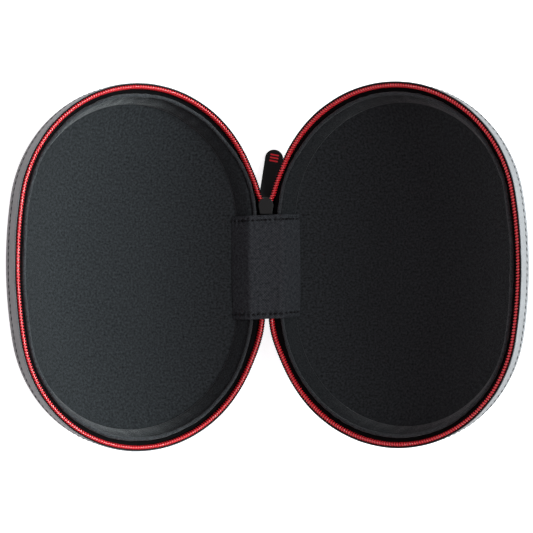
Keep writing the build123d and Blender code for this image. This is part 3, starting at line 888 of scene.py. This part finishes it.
def make_seam(half, side):
    """Stitches in the groove between the side band and the back cover."""
    places = (np.arange(round(RIM_LENGTH / SEAM_PITCH)) + 0.5) * SEAM_PITCH
    centres = swept(side, places, [0.12], [SEAM_DEPTH - 0.02])[:, 0]
    ahead = swept(side, places + 0.5, [0.12], [SEAM_DEPTH - 0.02])[:, 0]
    outward = centres - swept(side, places, [1.0], [SEAM_DEPTH])[:, 0]
    mesh = stitches(f"{half}_seam", centres, ahead - centres, outward, 2.5, 0.3)
    add_piece(f"{half}_seam_stitches", mesh, THREAD, half, [f"{half}_seam_thread"])


for half_name, half_side in HALVES.items():
    make_back_cover(half_name, half_side)
    make_lining_floor(half_name, half_side)
    make_lining_wall(half_name, half_side)
    make_piping(half_name, half_side)
    make_binding(half_name, half_side)
    make_side_band(half_name, half_side)
    make_tape(half_name, half_side)
    make_coil(half_name, half_side)
    make_seam(half_name, half_side)


def make_zipper_end():
    """Joined ends of the two tapes, which run into the parked slider."""
    points = np.array([[(x, y, HINGE_Z - 1.15) for x in (-1.7, 1.7)] for y in (27.4, 29.9)])
    mesh = grid("zipper_end", points, points[..., :2], toward=(0, 0, 1))
    add_piece("zipper_tape_end", mesh, BLACK_TAPE, "slider", thickness=0.12)


make_zipper_end()


# ---------------------------------------------------------------- hinge panel and spine strip

PANEL_LIP = (10.1, 1.6)  # u and depth
PANEL_FOOT_U = 13.3
PANEL_SAG = 1.0
PANEL_SKEW = 0.035
PANEL_ROUNDING = 2.2
STITCH_MARGIN = 2.8
STITCH_PITCH = 3.2


def bend_path(corners, rounding, straight, curved):
    """Points along a line of corners, rounded at each inner one. corners is (corner, row, xyz)."""
    pieces = []
    start = corners[0]
    for k in range(1, len(corners)):
        here = corners[k]
        back = corners[k - 1] - here
        back = back / np.linalg.norm(back, axis=-1)[:, None]
        last = k == len(corners) - 1
        stop = here if last else here + back * rounding
        t = np.linspace(0, 1, straight, endpoint=last)[:, None, None]
        pieces.append(start + (stop - start) * t)
        if not last:
            onward = corners[k + 1] - here
            onward = onward / np.linalg.norm(onward, axis=-1)[:, None]
            leave = here + onward * rounding
            t = np.linspace(0, 1, curved, endpoint=False)[:, None, None]
            pieces.append((1 - t) ** 2 * stop + 2 * t * (1 - t) * here + t**2 * leave)
            start = leave
    return np.concatenate(pieces).transpose(1, 0, 2)


def panel_points(rows):
    """Grid of the hinge panel's upper face, with a row for each place along the spine."""
    rim_u, _ = wall_point(station(rows), 0)
    foot_depth = dome_depth(PANEL_FOOT_U - rim_u, LINING_FACE) - 0.55
    corners = np.stack(
        [
            half_point(-1, PANEL_FOOT_U, rows, foot_depth),
            half_point(-1, PANEL_LIP[0], rows, np.full_like(rows, PANEL_LIP[1])),
            half_point(1, PANEL_LIP[0], rows, np.full_like(rows, PANEL_LIP[1])),
            half_point(1, PANEL_FOOT_U, rows, foot_depth),
        ]
    )
    points = bend_path(corners, PANEL_ROUNDING, 56, 14)
    lip_x = half_point(1, PANEL_LIP[0], 0, PANEL_LIP[1])[0]
    sag = PANEL_SAG * np.maximum(1 - (points[..., 0] / lip_x) ** 2, 0)
    y = points[..., 1]
    to_end = np.minimum(y - PANEL_LOW, PANEL_HIGH - y)
    hem = 0.12 * (1 - smooth(to_end, STITCH_MARGIN - 0.5, STITCH_MARGIN + 0.7))
    hem = hem - 0.4 * (1 - smooth(to_end, 0, 0.8))
    steps = np.linalg.norm(np.diff(points, axis=1), axis=2)
    run = np.hstack([np.zeros((len(points), 1)), np.cumsum(steps, axis=1)])
    to_stitch = np.cos(2 * math.pi * (run - run[:, -1:] / 2) / STITCH_PITCH)
    row_side = -1 if int(np.mean(run[:, -1]) // STITCH_PITCH) % 2 else 1
    pucker = -0.1 + 0.62 * row_side * to_stitch
    groove = pucker * np.exp(-(((to_end - STITCH_MARGIN) / 0.95) ** 2))
    soft = 0.16 * rumple(points[..., 0], y, 17, 51) + 0.05 * rumple(points[..., 0], y, 5.5, 52)
    points[..., 2] += hem + groove + soft * smooth(to_end, 0, 3) - sag
    points[..., 1] += PANEL_SKEW * points[..., 0]
    return points


panel_rows = np.concatenate(
    [
        np.linspace(PANEL_LOW, PANEL_LOW + 4, 17)[:-1],
        np.linspace(PANEL_LOW + 4, PANEL_HIGH - 4, 56)[:-1],
        np.linspace(PANEL_HIGH - 4, PANEL_HIGH, 17),
    ]
)
panel_grid = panel_points(panel_rows)
panel_width = lengths(panel_grid[len(panel_rows) // 2])
panel_uv = np.stack(np.broadcast_arrays(panel_width[None], panel_rows[:, None]), -1)
panel_mesh = grid("panel", panel_grid, panel_uv, toward=(0, 0, 1))
panel = add_piece(
    "hinge_panel_cloth",
    panel_mesh,
    PANEL,
    stands_for=["base_hinge_panel", "lid_hinge_panel"],
    thickness=0.8,
)
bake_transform(panel)


def panel_stitch_rows():
    """Two rows of stitches across the panel, near its ends."""
    centres, along, up = [], [], []
    for row in (PANEL_LOW + STITCH_MARGIN, PANEL_HIGH - STITCH_MARGIN):
        line, beside = panel_points(np.array([row, row + 0.3]))
        run = lengths(line)
        count = int(run[-1] // STITCH_PITCH)
        places = (run[-1] - (count - 1) * STITCH_PITCH) / 2 + np.arange(count) * STITCH_PITCH

        def at(path, where):
            return np.stack([np.interp(where, run, path[:, k]) for k in range(3)], -1)

        here, ahead, aside = at(line, places), at(line, places + 0.3), at(beside, places)
        normal = np.cross(ahead - here, aside - here)
        centres.append(here)
        along.append(ahead - here)
        up.append(normal / np.linalg.norm(normal, axis=1)[:, None])
    return np.concatenate(centres), np.concatenate(along), np.concatenate(up)


stitch_centres, stitch_along, stitch_up = panel_stitch_rows()
panel_thread = add_piece(
    "hinge_panel_stitches",
    stitches("panel_thread", stitch_centres + 0.12 * stitch_up, stitch_along, stitch_up, 1.6, 0.5),
    THREAD,
    stands_for=["base_panel_thread", "lid_panel_thread"],
)
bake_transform(panel_thread)

STRIP_REACH = 25.8
STRIP_HIGH = 27.9
STRIP_BOTTOM = 9.5
STRIP_INSET = -0.22
strip_rows = np.linspace(-STRIP_REACH, STRIP_HIGH, 60)
strip_u, _ = wall_point(station(strip_rows), STRIP_INSET)
strip_corners = np.stack(
    [
        half_point(-1, strip_u, strip_rows, np.full_like(strip_rows, STRIP_BOTTOM)),
        half_point(-1, strip_u, strip_rows, np.full_like(strip_rows, 1.7)),
        half_point(1, strip_u, strip_rows, np.full_like(strip_rows, 1.7)),
        half_point(1, strip_u, strip_rows, np.full_like(strip_rows, STRIP_BOTTOM)),
    ]
)
strip_grid = bend_path(strip_corners, 0.45, 10, 6)
strip_width = lengths(strip_grid[0])
strip_uv_table = np.stack(np.broadcast_arrays(strip_width[None], strip_rows[:, None]), -1)
strip_mesh = grid("spine_strip", strip_grid, strip_uv_table, toward=(0, 0, -1))
strip = add_piece(
    "spine_strip_cloth",
    strip_mesh,
    OUTER,
    stands_for=["base_spine_strip", "lid_spine_strip"],
    thickness=0.3,
)
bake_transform(strip)


# ---------------------------------------------------------------- carried-over CAD nodes

CAD_LOOKS = {
    "base_foam_shell": FOAM,
    "lid_foam_shell": FOAM,
    "base_top_stop": SLIDER,
    "lid_top_stop": SLIDER,
    "slider_body": SLIDER,
    "slider_bridge": SLIDER,
    "bottom_stop": SLIDER,
    "pull_link": SLIDER,
    "pull_tab": RUBBER,
    "pull_inlay": INLAY,
}
for node_name, look in CAD_LOOKS.items():
    node = frame["nodes"][node_name]
    node.data.materials.clear()
    node.data.materials.append(look)
